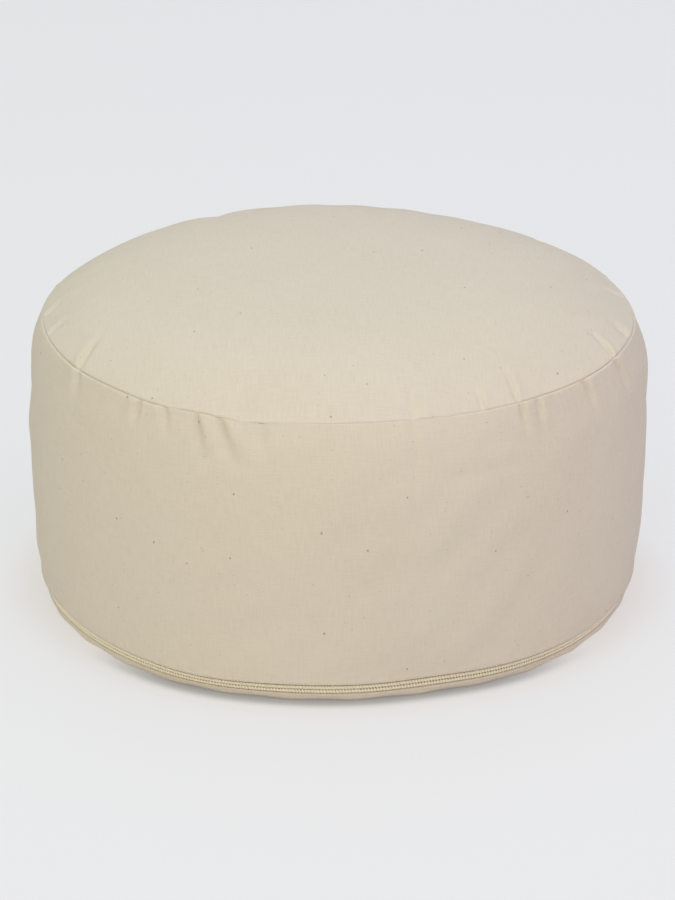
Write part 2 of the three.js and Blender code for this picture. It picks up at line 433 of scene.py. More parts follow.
class ShaderTree:
    """One material whose nodes are added and wired in a few words."""

    def __init__(self, name: str) -> None:
        """Make the material.

        Args:
            name: Name of the material.
        """
        self.material = bpy.data.materials.new(name)
        self.material.use_nodes = True
        self.nodes = self.material.node_tree.nodes
        self.surface = self.nodes["Principled BSDF"]

    def wire(self, value: Socket | float | tuple, target: Socket) -> None:
        """Link a socket, or set a constant directly.

        Args:
            value: An output socket, a number or a tuple of numbers.
            target: The input socket.
        """
        if isinstance(value, bpy.types.NodeSocket):
            self.material.node_tree.links.new(value, target)
        else:
            target.default_value = value

    def add(self, kind: str, inputs: dict[str, Socket | float | tuple], **settings: object) -> bpy.types.Node:
        """Add a node.

        Args:
            kind: Type of the node, without its ShaderNode prefix.
            inputs: What each named input gets.
            **settings: Properties of the node.

        Returns:
            The node.
        """
        node = self.nodes.new("ShaderNode" + kind)
        for name, value in settings.items():
            setattr(node, name, value)
        for name, value in inputs.items():
            self.wire(value, node.inputs[name])
        return node

    def math(self, operation: str, *values: Socket | float) -> Socket:
        """Add a sum.

        Args:
            operation: Name of the operation.
            *values: Its terms.

        Returns:
            The result.
        """
        node = self.nodes.new("ShaderNodeMath")
        node.operation = operation
        for place, value in enumerate(values):
            self.wire(value, node.inputs[place])
        return node.outputs[0]

    def stretch(self, vector: Socket, scale: tuple[float, float, float]) -> Socket:
        """Multiply a vector by a scale for each axis."""
        node = self.nodes.new("ShaderNodeVectorMath")
        node.operation = "MULTIPLY"
        self.wire(vector, node.inputs[0])
        node.inputs[1].default_value = scale
        return node.outputs[0]

    def between(
        self, value: Socket, low: float, high: float, to_low: Socket | float, to_high: float
    ) -> Socket:
        """Ease a value from one range to another.

        Args:
            value: The value.
            low: Start of its range.
            high: End of its range.
            to_low: Result at the start.
            to_high: Result at the end.

        Returns:
            The eased value.
        """
        inputs = {"Value": value, "From Min": low, "From Max": high, "To Min": to_low, "To Max": to_high}
        return self.add("MapRange", inputs, interpolation_type="SMOOTHSTEP").outputs["Result"]

    def blend(self, share: Socket, first: Socket | Colour, second: Socket | Colour) -> Socket:
        """Blend two colours.

        Args:
            share: Share of the second colour.
            first: Colour where the share is 0.
            second: Colour where the share is 1.

        Returns:
            The blended colour.
        """
        node = self.nodes.new("ShaderNodeMix")
        node.data_type = "RGBA"
        colours = [socket for socket in node.inputs if socket.type == "RGBA"]
        self.wire(share, node.inputs["Factor"])
        for value, target in zip((first, second), colours):
            self.wire(value if isinstance(value, bpy.types.NodeSocket) else (*value, 1.0), target)
        return next(socket for socket in node.outputs if socket.type == "RGBA")


@dataclass(frozen=True)
class CanvasFinish:
    """Unbleached plain-weave cotton canvas with slubs and brown seed flecks."""

    colour: Colour = (0.745, 0.665, 0.545)
    shade: Colour = (0.705, 0.625, 0.505)
    fleck: Colour = (0.36, 0.275, 0.18)
    thread_pitch: float = 0.42
    relief: float = 0.06
    roughness: float = 0.93
    sheen: float = 0.06
    specular: float = 0.2
    bump: float = 0.8
    thread_round: float = 0.55
    thread_over: float = 0.18
    slub_across: float = 1.2
    slub_along: float = 0.11
    slub_height: float = 0.4
    slub_range: Point = (0.3, 0.7)
    slub_tone: float = 0.55
    cloud_scale: float = 0.018
    cloud_tone: float = 0.45
    thread_gap_shade: Point = (0.25, 0.8)
    tone_range: Point = (0.1, 0.75)
    fleck_strength: float = 0.8
    fleck_rough: float = 1.6
    fleck_shift: float = 0.9
    fleck_rarity: float = 1.6
    fleck_edge: Point = (0.65, 1.15)
    threads: str = "threads"

    def weave(self, tree: ShaderTree, threads: Socket) -> Socket:
        """Height of a plain weave.

        Args:
            tree: The material.
            threads: Thread coordinates in mm.

        Returns:
            Heights from 0 between the threads to 1 on them.
        """
        turns = math.pi / self.thread_pitch
        axes = tree.add("SeparateXYZ", {"Vector": tree.stretch(threads, (turns, turns, 0.0))}).outputs
        warp, weft = (tree.math("SINE", axes[name]) for name in "XY")
        over = tree.math("SIGN", tree.math("MULTIPLY", warp, weft))
        sharp = tree.math("MULTIPLY_ADD", over, self.thread_over, self.thread_round)
        flat = tree.math("MULTIPLY_ADD", over, -self.thread_over, self.thread_round)
        across = tree.math("POWER", tree.math("ABSOLUTE", warp), sharp)
        down = tree.math("POWER", tree.math("ABSOLUTE", weft), flat)
        return tree.math("MULTIPLY", across, down)

    def slubs(self, tree: ShaderTree, threads: Socket) -> Socket:
        """Uneven thickness of the threads.

        Args:
            tree: The material.
            threads: Thread coordinates in mm.

        Returns:
            Thickness, about 0.5 on average.
        """
        along_warp = tree.stretch(threads, (self.slub_across, self.slub_along, 1.0))
        along_weft = tree.stretch(threads, (self.slub_along, self.slub_across, 1.0))
        warp = tree.add("TexNoise", {"Vector": along_warp, "Scale": 1.0, "Detail": 2.0}).outputs["Fac"]
        weft = tree.add("TexNoise", {"Vector": along_weft, "Scale": 1.0, "Detail": 2.0}).outputs["Fac"]
        return tree.math("MULTIPLY", tree.math("ADD", warp, weft), 0.5)

    def flecks(self, tree: ShaderTree, threads: Socket, cell: float, size: float, long: float) -> Socket:
        """Scattered seed flecks.

        Args:
            tree: The material.
            threads: Thread coordinates in mm.
            cell: Distance between flecks in mm.
            size: Radius of the largest in mm.
            long: How many times longer than wide they are.

        Returns:
            1 on a fleck and 0 beside it.
        """
        noise = {"Vector": threads, "Scale": self.fleck_rough, "Detail": 2.0}
        rough = tree.add("TexNoise", noise).outputs["Color"]
        shifted = tree.add("VectorMath", {}, operation="MULTIPLY_ADD")
        tree.wire(rough, shifted.inputs[0])
        shifted.inputs[1].default_value = (self.fleck_shift, self.fleck_shift, 0.0)
        tree.wire(threads, shifted.inputs[2])
        spread = tree.stretch(shifted.outputs[0], (1.0 / cell, long / cell, 0.0))
        cells = tree.add("TexVoronoi", {"Vector": spread, "Scale": 1.0}, voronoi_dimensions="2D")
        chance = tree.add("SeparateColor", {"Color": cells.outputs["Color"]}).outputs["Red"]
        radius = tree.math("MULTIPLY", tree.math("POWER", chance, self.fleck_rarity), size / cell)
        near = tree.math("DIVIDE", cells.outputs["Distance"], tree.math("ADD", radius, 1e-4))
        return tree.between(near, *self.fleck_edge, 1.0, 0.0)

    def material(self) -> bpy.types.Material:
        """The canvas, woven along the thread coordinates of its mesh."""
        tree = ShaderTree("canvas")
        threads = tree.add("Attribute", {}, attribute_name=self.threads).outputs["Vector"]
        weave = self.weave(tree, threads)
        slubs = self.slubs(tree, threads)
        noise = {"Vector": threads, "Scale": self.cloud_scale, "Detail": 3.0}
        cloudy = tree.add("TexNoise", noise).outputs["Fac"]
        slubby = tree.between(slubs, *self.slub_range, 0.0, self.slub_tone)
        pale = tree.math("ADD", slubby, tree.math("MULTIPLY", cloudy, self.cloud_tone))
        # Painted shade: the cloth darkens where the weave dips between the threads.
        lit = tree.math("MULTIPLY", pale, tree.math("MULTIPLY_ADD", weave, *self.thread_gap_shade))
        cloth = tree.blend(tree.between(lit, *self.tone_range, 0.0, 1.0), self.shade, self.colour)
        large = self.flecks(tree, threads, cell=22.0, size=0.56, long=0.7)
        small = self.flecks(tree, threads, cell=8.0, size=0.31, long=1.5)
        seeds = tree.math("MULTIPLY", tree.math("MAXIMUM", large, small), self.fleck_strength)
        tree.wire(tree.blend(seeds, cloth, self.fleck), tree.surface.inputs["Base Color"])
        tree.wire(self.roughness, tree.surface.inputs["Roughness"])
        tree.wire(self.specular, tree.surface.inputs["Specular IOR Level"])
        tree.wire(self.sheen, tree.surface.inputs["Sheen Weight"])
        height = tree.math("ADD", weave, tree.math("MULTIPLY", slubs, self.slub_height))
        bump = tree.add("Bump", {"Strength": self.bump, "Distance": self.relief * MM, "Height": height})
        tree.wire(bump.outputs["Normal"], tree.surface.inputs["Normal"])
        return tree.material


@dataclass(frozen=True)
class ZipTapeFinish:
    """Fine woven cream tape, ribbed across its length."""

    colour: Colour = (0.69, 0.61, 0.42)
    shade: Colour = (0.56, 0.48, 0.31)
    rib: float = 0.45
    relief: float = 0.08
    roughness: float = 0.9
    bump: float = 0.6

    def material(self) -> bpy.types.Material:
        """The tape, with ribs that stand round the cushion's axis, and painted shade in the troughs between
        them.
        """
        tree = ShaderTree("zip_tape")
        place = tree.add("TexCoord", {}).outputs["Object"]
        axes = tree.add("SeparateXYZ", {"Vector": place}).outputs
        angle = tree.math("ARCTAN2", axes["X"], axes["Y"])
        ribs = tree.math("SINE", tree.math("MULTIPLY", angle, math.tau * CoverShape.foot_radius / self.rib))
        height = tree.math("MULTIPLY_ADD", ribs, 0.5, 0.5)
        # Painted shade: the colour darkens towards the shade colour in the troughs between the ribs.
        tree.wire(tree.blend(height, self.shade, self.colour), tree.surface.inputs["Base Color"])
        tree.wire(self.roughness, tree.surface.inputs["Roughness"])
        bump = tree.add("Bump", {"Strength": self.bump, "Distance": self.relief * MM, "Height": height})
        tree.wire(bump.outputs["Normal"], tree.surface.inputs["Normal"])
        return tree.material


@dataclass(frozen=True)
class CoilFinish:
    """Cream nylon coil, satin, a little uneven in colour."""

    colour: Colour = (0.90, 0.815, 0.64)
    shade: Colour = (0.85, 0.76, 0.58)
    roughness: float = 0.42
    cloud_scale: float = 260.0

    def material(self) -> bpy.types.Material:
        """The nylon of the coil."""
        tree = ShaderTree("zip_coil")
        place = tree.add("TexCoord", {}).outputs["Object"]
        noise = {"Vector": place, "Scale": self.cloud_scale, "Detail": 2.0}
        cloudy = tree.add("TexNoise", noise).outputs["Fac"]
        tree.wire(tree.blend(cloudy, self.shade, self.colour), tree.surface.inputs["Base Color"])
        tree.wire(self.roughness, tree.surface.inputs["Roughness"])
        return tree.material


@dataclass(frozen=True)
class FloorFinish:
    """Pale paper floor that gives off part of its own light, with painted shadow and a warm painted bounce
    tint where a piece stands close over it.
    """

    colour: Colour = (0.25, 0.25, 0.25)
    glow: Colour = (0.985, 0.985, 1.000)
    strength: float = 0.5914
    contact: float = 0.011
    contact_shade: float = 0.36
    contact_from: float = -0.085
    contact_full: float = -0.138
    wide_contact: float = 0.03
    wide_shade: float = 0.97
    painted_bounce_tint: Colour = (0.97, 0.92, 0.89)
    touching: float = 0.45
    feelers: int = 16
    roughness: float = 0.9

    def shaded(self, tree: ShaderTree, reach: float, darkest: Socket | float) -> Socket:
        """Share of the glow that is left close to a piece.

        Args:
            tree: The material.
            reach: How far the painted shadow of a piece reaches, in metres.
            darkest: Share that is left where it touches.

        Returns:
            Shares up to 1.
        """
        near = tree.add("AmbientOcclusion", {"Distance": reach}, samples=self.feelers).outputs["AO"]
        return tree.between(near, self.touching, 1.0, darkest, 1.0)

    def material(self) -> bpy.types.Material:
        """The paper, with painted shadow that is darkest right under the front."""
        tree = ShaderTree("floor")
        tree.wire((*self.colour, 1.0), tree.surface.inputs["Base Color"])
        place = tree.add("TexCoord", {}).outputs["Object"]
        depth = tree.add("SeparateXYZ", {"Vector": place}).outputs["Y"]
        # Painted shadow: the glow is cut where a piece stands close over the floor, deepest under the front,
        # and a warm painted bounce tint lies there.
        darkest = tree.between(depth, self.contact_full, self.contact_from, self.contact_shade, 1.0)
        close = self.shaded(tree, self.contact, darkest)
        wide = self.shaded(tree, self.wide_contact, self.wide_shade)
        painted_bounce_share = self.shaded(tree, self.wide_contact, 0.0)
        tree.wire(tree.blend(painted_bounce_share, self.painted_bounce_tint, self.glow), tree.surface.inputs["Emission Color"])
        lit = tree.math("MULTIPLY", tree.math("MULTIPLY", close, wide), self.strength)
        tree.wire(lit, tree.surface.inputs["Emission Strength"])
        tree.wire(self.roughness, tree.surface.inputs["Roughness"])
        tree.wire(0.0, tree.surface.inputs["Specular IOR Level"])
        return tree.material


def add_piece(name: str, positions: Array, faces: list, material: bpy.types.Material) -> bpy.types.Object:
    """Make a smooth mesh object.

    Args:
        name: Name of the piece.
        positions: Corner positions in mm.
        faces: Corner numbers of each face.
        material: Its finish.

    Returns:
        The object, in the scene.
    """
    mesh = bpy.data.meshes.new(name)
    mesh.from_pydata((positions * MM).tolist(), [], faces)
    mesh.shade_smooth()
    mesh.materials.append(material)
    piece = bpy.data.objects.new(name, mesh)
    bpy.context.scene.collection.objects.link(piece)
    return piece


@dataclass
class FilledCover:
    """The sewn and filled canvas cover: base panel, band and gathered top panel."""

    shape: CoverShape
    finish: CanvasFinish
    columns: int = 720
    angle_steps: int = 7201
    gather_density: float = 3.0
    most_dense: float = 4.0
    seed: int = 7
    seam_depth: float = 2.8
    channel_depth: float = 3.3
    plain_half_width: float = 0.8
    plain_depth: float = 1.3
    channel_past_zip: float = -2.6
    channel_closes_over: float = 3.0
    base_ripples: int = 30
    ripple_size: float = 0.5
    ripple_lift: float = 0.5
    ripple_from: float = 0.97
    rumple: float = 0.22
    rumple_waves: int = 26
    rumple_turns: tuple[int, int] = (3, 34)
    rumple_lengths: Point = (22.0, 90.0)
    rumple_radius: Point = (20.0, 100.0)
    rumple_from_seam: Point = (4.0, 16.0)
    rumple_height: float = 30.0
    top_rumple: float = 0.5
    fill: float = 0.85
    base_shares: tuple[float, ...] = (0.0, 0.25, 0.5, 0.7, 0.82, 0.9, 0.95, 0.98, 1.0)
    fold_roll: tuple[Point, ...] = ((0.9, 0.1), (0.35, 0.12), (0.08, -0.1), (0.0, -0.45))
    lip_shares: tuple[float, ...] = (0.2, 0.4, 0.6, 0.8)
    lip_leave: Point = (1.1, 0.1)
    lip_arrive: Point = (0.35, -1.6)
    floor_rows_on_base: int = 2
    edge_rows: tuple[float, ...] = (0.12, 0.3, 0.55, 0.9, 1.6, 2.5, 3.5)
    gathered_rows: tuple[float, float, float] = (4.6, 36.0, 1.45)
    rows_from_foot: tuple[float, ...] = (7.0, 5.0, 3.4, 2.2, 1.4)
    band_rows: int = 27
    top_rows: int = 17
    band_roll: tuple[Point, ...] = (
        (0.12, -1.6), (0.3, -0.8), (0.55, -0.05), (0.9, 0.15), (1.6, 0.2), (6.0, 0.0),
    )
    top_roll: tuple[Point, ...] = ((0.12, -1.7), (0.3, -1.0), (0.55, -0.35), (0.9, -0.1), (1.6, 0.0))
    seam_hold: float = 0.8
    seam_hold_fades_by: float = 3.0
    seam_open: tuple[Point, ...] = (
        (-180, 0.7), (-90, 0.5), (-75, 0.8), (-66, 1.2), (-37, 1.4), (-34, 0.1), (-32, 0.1), (-30, 1.4),
        (-25, 1.2), (-21, 0.1), (-6, 0.1), (0, 0.4), (10, 0.4), (16, 0.15), (23, 0.4), (34, 0.6), (38, 0.9),
        (60, 1.0), (90, 1.0), (180, 0.7),
    )
    gathers: tuple[Gather, ...] = (
        Gather(Panel.TOP, -86.5, 24, 4.0, 1.2, -11, -0.4),
        Gather(Panel.TOP, -76.0, 17, 3.4, 1.3, -3, -0.5),
        Gather(Panel.TOP, -58.6, 25, 3.4, 2.3, -11, -0.4),
        Gather(Panel.TOP, -18.5, 24, 8.0, 1.3, -4, 0.4),
        Gather(Panel.TOP, 14.5, 24, 5.0, 1.2, 3, 0.7),
        Gather(Panel.TOP, 28.4, 18, 2.8, 1.4, 3, 0.5),
        Gather(Panel.TOP, 36.0, 26, 2.4, 1.7, 7, 0.35),
        Gather(Panel.TOP, 65.6, 23, 2.8, 2.2, 9, 0.4),
        Gather(Panel.TOP, 76.0, 17, 5.0, 1.1, 5, 0.6),
        Gather(Panel.TOP, -148.0, 70, 14.0, 2.2, 0, 0.2),
        Gather(Panel.BAND, -58.0, 20, 4.6, 1.5, 3, -0.6),
        Gather(Panel.BAND, -40.2, 17, 2.6, 2.7, -1, -0.65),
        Gather(Panel.BAND, -34.4, 18, 3.6, 1.9, 6, -0.45),
        Gather(Panel.BAND, -27.8, 24, 4.2, 3.1, 8, 0.5),
        Gather(Panel.BAND, -23.2, 28, 5.6, 3.2, 15, 0.5),
        Gather(Panel.BAND, -14.5, 22, 5.0, 1.2, 2, 0.6),
        Gather(Panel.BAND, 14.0, 40, 5.0, 1.0, 0, 0.7),
        Gather(Panel.BAND, 36.4, 19, 2.6, 2.1, 1, 0.45),
        Gather(Panel.BAND, 40.4, 18, 2.6, 2.1, 0, 0.45),
        Gather(Panel.BAND, 53.6, 21, 3.0, 2.3, 3, 0.45),
        Gather(Panel.BAND, 65.4, 24, 3.2, 2.5, 7, 0.5),
    )
    creases: tuple[Crease, ...] = (
        Crease((16.0, 118.0), (38.0, 120.0), 9.0, 0.7),
        Crease((23.0, 133.0), (38.0, 131.0), 10.0, 0.6),
        Crease((22.0, 21.0), (38.0, 19.0), 7.0, 0.5),
        Crease((-62.0, 128.0), (-46.0, 118.0), 9.0, 0.6),
    )

    def gathers_behind(self) -> list[Gather]:
        """Gathers of the unseen side, at an even pace, with sizes that repeat out of step."""
        panels = (Panel.TOP, Panel.BAND, Panel.BAND, Panel.TOP, Panel.BAND)
        reaches = (18.0, 15.0, 22.0, 26.0)
        depths = (1.2, 1.6, 1.4)
        rows = []
        for place, angle in enumerate(range(98, 263, 12)):
            panel = panels[place % len(panels)]
            reach = reaches[place % len(reaches)]
            depth = depths[place % len(depths)]
            rows.append(Gather(panel, float(angle), reach, 4.0, depth, place % 3 - 1.0, 0.4))
        return rows

    @cached_property
    def all_gathers(self) -> list[Gather]:
        """The gathers of the front and of the unseen side."""
        return [*self.gathers, *self.gathers_behind()]

    def column_angles(self) -> Array:
        """Angles of the mesh's columns, close together where a gather needs them."""
        fine = np.linspace(-180.0, 180.0, self.angle_steps)
        density = np.ones_like(fine)
        for gather in self.all_gathers:
            middle, half = gather.spread()
            density += self.gather_density * bell(turn_between(fine, middle) / half)
        density = np.minimum(density, self.most_dense)
        travelled = np.concatenate([[0.0], np.cumsum((density[1:] + density[:-1]) / 2.0)])
        steps = np.linspace(0.0, travelled[-1], self.columns, endpoint=False)
        return np.interp(steps, travelled, fine)

    def press(self, panel: Panel, angle: Array, from_seam: Array) -> Array:
        """Depth of all the gathers of a panel.

        Args:
            panel: The panel.
            angle: Angles in degrees.
            from_seam: Distances from the seam in mm.

        Returns:
            Depths in mm.
        """
        rows = (row for row in self.all_gathers if row.panel is panel)
        return sum(row.press(angle, from_seam, self.shape.seam_radius) for row in rows)

    def rumples(self, angle: Array, along: Array, salt: int) -> Array:
        """Slight unevenness of filled cloth.

        Args:
            angle: Angles in degrees.
            along: Distances along the section in mm.
            salt: Picks another pattern for each panel.

        Returns:
            Heights in mm.
        """
        random = np.random.default_rng(self.seed + salt)
        total = np.zeros(np.broadcast(angle, along).shape)
        for _ in range(self.rumple_waves):
            turns = random.integers(*self.rumple_turns)
            length = random.uniform(*self.rumple_lengths)
            phase = random.uniform(0.0, math.tau)
            total += np.cos(np.radians(angle) * turns + math.tau * along / length + phase)
        return self.rumple * total * math.sqrt(2.0 / self.rumple_waves)

    def base_rows(self, angle: Array) -> Array:
        """Base panel, from its middle to its rim.

        Args:
            angle: Angles of the columns, in degrees.

        Returns:
            Section points, column by row.
        """
        wave = np.sin(np.radians(angle * self.base_ripples))
        rim = self.shape.base_radius + self.ripple_size * wave
        shares = np.array(self.base_shares)
        radius = rim * shares
        lift = self.ripple_lift * (0.5 - 0.5 * wave) * ramp(shares, self.ripple_from, 1.0)
        return np.stack([radius, lift], axis=-1)

    def zip_presence(self, angle: Array) -> Array:
        """1 along the zip, easing to 0 where the plain seam takes over."""
        past = np.abs(turn_between(angle, 0.0)) - self.shape.zip_half_angle
        return 1.0 - ramp(past, self.channel_past_zip, self.channel_past_zip + self.channel_closes_over)

    def foot_rows(self, angle: Array, rim: Array) -> Array:
        """Turned-up edge of the base panel and the folded channel that the zip lies in.

        Args:
            angle: Angles of the columns, in degrees.
            rim: Rim points of the base panel.

        Returns:
            Section points, column by row.
        """
        presence = self.zip_presence(angle)
        half = self.plain_half_width + presence * (self.shape.channel_half_width - self.plain_half_width)
        depth = self.plain_depth + presence * (self.channel_depth - self.plain_depth)
        fold = self.shape.channel(-half[:, 0] - self.fold_roll[0][0], self.fold_roll[0][1])
        share = np.array(self.lip_shares)[None, :, None]
        leave = rim[:, None] + np.array(self.lip_leave)
        arrive = fold[:, None] + np.array(self.lip_arrive)
        rest = 1.0 - share
        lip = (
            rest**3 * rim[:, None]
            + 3.0 * rest**2 * share * leave
            + 3.0 * rest * share**2 * arrive
            + share**3 * fold[:, None]
        )
        back, out = np.array(self.fold_roll).T
        lower = self.shape.channel(-half - back, out)
        floor = [
            self.shape.channel(-half, -depth * 0.5),
            self.shape.channel(-half, -depth),
            self.shape.channel(0.0, -depth),
            self.shape.channel(half, -depth),
            self.shape.channel(half, -depth * 0.5),
        ]
        upper = self.shape.channel(half + back[::-1], out[::-1])
        return np.concatenate([lip, lower, *floor, upper], axis=1)

    def from_seam(self, panel: Panel) -> Array:
        """Distances from the top seam at which a panel has a row, nearest first.

        Args:
            panel: The band or the top panel.

        Returns:
            Distances along the panel in mm.
        """
        edge = np.array(self.edge_rows)
        gathered = np.arange(*self.gathered_rows)
        if panel is Panel.BAND:
            foot = self.shape.band.length() - np.array(self.rows_from_foot)
            plain = np.linspace(gathered[-1], foot[0], self.band_rows)[1:-1]
            return np.concatenate([edge, gathered, plain, foot])
        plain = np.linspace(gathered[-1], self.shape.top.length(), self.top_rows)[1:]
        return np.concatenate([edge, gathered, plain])

    def opening(self, angle: Array) -> Array:
        """How far the top seam gapes at each angle, from 0 to 1."""
        knots, opens = np.array(self.seam_open).T
        return np.interp(turn_between(angle, 0.0), knots, opens)

    def edge_press(self, panel: Panel, angle: Array, away: Array) -> Array:
        """Depth of a panel's gathers, held back by the stitches near the seam.

        Args:
            panel: The panel.
            angle: Angles in degrees.
            away: Distances from the seam in mm.

        Returns:
            Depths in mm.
        """
        free = self.seam_hold + (1.0 - self.seam_hold) * ramp(away, 0.0, self.seam_hold_fades_by)
        return self.press(panel, angle, away) * free

    def panel_rows(self, panel: Panel, angle: Array) -> Array:
        """The band or the top panel, from the seam on, with its rolled edge, gathers and rumples.

        Args:
            panel: The panel.
            angle: Angles of the columns, in degrees.

        Returns:
            Section points, column by row.
        """
        is_band = panel is Panel.BAND
        curve = self.shape.band if is_band else self.shape.top
        roll = self.band_roll if is_band else self.top_roll
        away = self.from_seam(panel)
        shares = curve.share_at(away, from_end=is_band)
        points = curve.at(shares)
        stand = np.interp(away, *np.array(roll).T)
        gaping = stand * self.opening(angle)
        rumpled = ramp(points[:, 0], *self.rumple_radius) * ramp(away, *self.rumple_from_seam)
        if is_band:
            rumpled = rumpled * ramp(points[:, 1], self.shape.foot_height, self.rumple_height)
        else:
            rumpled = rumpled * self.top_rumple
        height = gaping + self.rumples(angle, away, len(panel.value)) * rumpled
        height = height - self.edge_press(panel, angle, away)
        if is_band:
            radius = self.shape.seam_radius
            height = height - sum(row.press(angle, points[:, 1], radius) for row in self.creases)
        return points + height[..., None] * curve.outward(shares)

    def stitch_row(self, angle: Array) -> Array:
        """The stitch line at the bottom of the top seam.

        Args:
            angle: Angles of the columns, in degrees.

        Returns:
            Section points, column by row, of one row.
        """
        out = self.shape.band.outward(1.0) + self.shape.top.outward(0.0)
        inward = -out / np.linalg.norm(out)
        start = np.zeros(1)
        on_band = self.edge_press(Panel.BAND, angle, start)
        on_top = self.edge_press(Panel.TOP, angle, start)
        sunk = self.seam_depth * self.opening(angle) + np.maximum(np.maximum(on_band, on_top), 0.0)
        return self.shape.seam + sunk[..., None] * inward

    def section(self, angle: Array) -> tuple[Array, list[Panel]]:
        """The whole section at each column.

        Args:
            angle: Angles of the columns, in degrees, as a column vector.

        Returns:
            Section points, column by row, and the panel of each strip between two rows.
        """
        base = self.base_rows(angle)
        foot = self.foot_rows(angle, base[:, -1])
        band = self.panel_rows(Panel.BAND, angle)[:, ::-1]
        top = self.panel_rows(Panel.TOP, angle)
        rows = np.concatenate([base, foot, band, self.stitch_row(angle), top], axis=1)
        to_band = base.shape[1] + len(self.lip_shares) + len(self.fold_roll) + self.floor_rows_on_base
        to_top = base.shape[1] + foot.shape[1] + band.shape[1]
        strips = [
            Panel.BASE if row < to_band else Panel.BAND if row < to_top else Panel.TOP
            for row in range(rows.shape[1] - 1)
        ]
        return rows, strips

    def faces(self, rows: int) -> tuple[Array, Array, Array]:
        """Corner numbers of the closed skin, whose first and last rows are single points.

        Args:
            rows: How many rows the section has.

        Returns:
            Triangles round the base's middle, quads, and triangles round the crown.
        """
        columns = np.arange(self.columns)
        after = (columns + 1) % self.columns

        def corner(column: Array, row: int | Array) -> Array:
            """Corner number at a column and an inner row."""
            return 1 + (row - 1) * self.columns + column

        crown = 1 + (rows - 2) * self.columns
        below = np.arange(1, rows - 2)[:, None]
        above = below + 1
        quads = np.stack(
            [corner(columns, below), corner(after, below), corner(after, above), corner(columns, above)],
            axis=-1,
        )
        middle = np.stack([0 * columns, corner(after, 1), corner(columns, 1)], axis=-1)
        peak = np.stack([corner(columns, rows - 2), corner(after, rows - 2), 0 * columns + crown], axis=-1)
        return middle, quads, peak

    def thread_coordinates(self, places: Array, rows: Array, angle: Array, strips: list[Panel]) -> Array:
        """Where the threads of each panel run, for each face corner.

        Args:
            places: Settled positions, column by row, in mm.
            rows: Section points, column by row.
            angle: Angles of the columns, in degrees.
            strips: Panel of each strip between two rows.

        Returns:
            Two coordinates along the threads in mm, for each corner in the order of the faces.
        """
        steps = np.linalg.norm(np.diff(rows[0], axis=0), axis=1)
        climbed = np.concatenate([[0.0], np.cumsum(steps)])
        girth = math.tau * self.shape.foot_radius
        threads = 2.0 * round(girth / self.finish.thread_pitch / 2.0)
        turned = (angle[:, 0] + 180.0) / FULL_TURN * threads * self.finish.thread_pitch
        closed = np.append(turned, threads * self.finish.thread_pitch)
        parts = []
        for row, panel in enumerate(strips):
            levels = (row, row + 1)
            if panel is Panel.BAND:
                heights = [np.full(self.columns, climbed[level]) for level in levels]
                left = [np.stack([closed[:-1], height], axis=-1) for height in heights]
                right = [np.stack([closed[1:], height], axis=-1) for height in heights]
            else:
                left = [places[:, level, :2] for level in levels]
                right = [np.roll(places[:, level, :2], -1, axis=0) for level in levels]
            if row == 0:
                corners = [left[0], right[1], left[1]]
            elif row == len(strips) - 1:
                corners = [left[0], right[0], left[1]]
            else:
                corners = [left[0], right[0], right[1], left[1]]
            parts.append(np.stack(corners, axis=1).reshape(-1, 2))
        flat = np.concatenate(parts)
        return np.concatenate([flat, np.zeros((len(flat), 1))], axis=1)

    def build(self) -> bpy.types.Object:
        """Build and dress the cover in place of its solid.

        Returns:
            The piece.
        """
        angle = self.column_angles()[:, None]
        rows, strips = self.section(angle)
        places = self.shape.settled(rows, np.broadcast_to(angle, rows.shape[:2]))
        inner = places[:, 1:-1].transpose(1, 0, 2).reshape(-1, 3)
        positions = np.concatenate([places[:1, 0], inner, places[:1, -1]])
        middle, quads, peak = self.faces(rows.shape[1])
        faces = [*middle.tolist(), *quads.reshape(-1, 4).tolist(), *peak.tolist()]
        piece = add_piece("cover", positions, faces, self.finish.material())
        threads = piece.data.attributes.new(self.finish.threads, "FLOAT_VECTOR", "CORNER")
        coordinates = self.thread_coordinates(places, rows, angle, strips)
        threads.data.foreach_set("vector", coordinates.ravel().astype(np.float32))
        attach(piece, "root")
        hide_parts("cushion")
        return piece


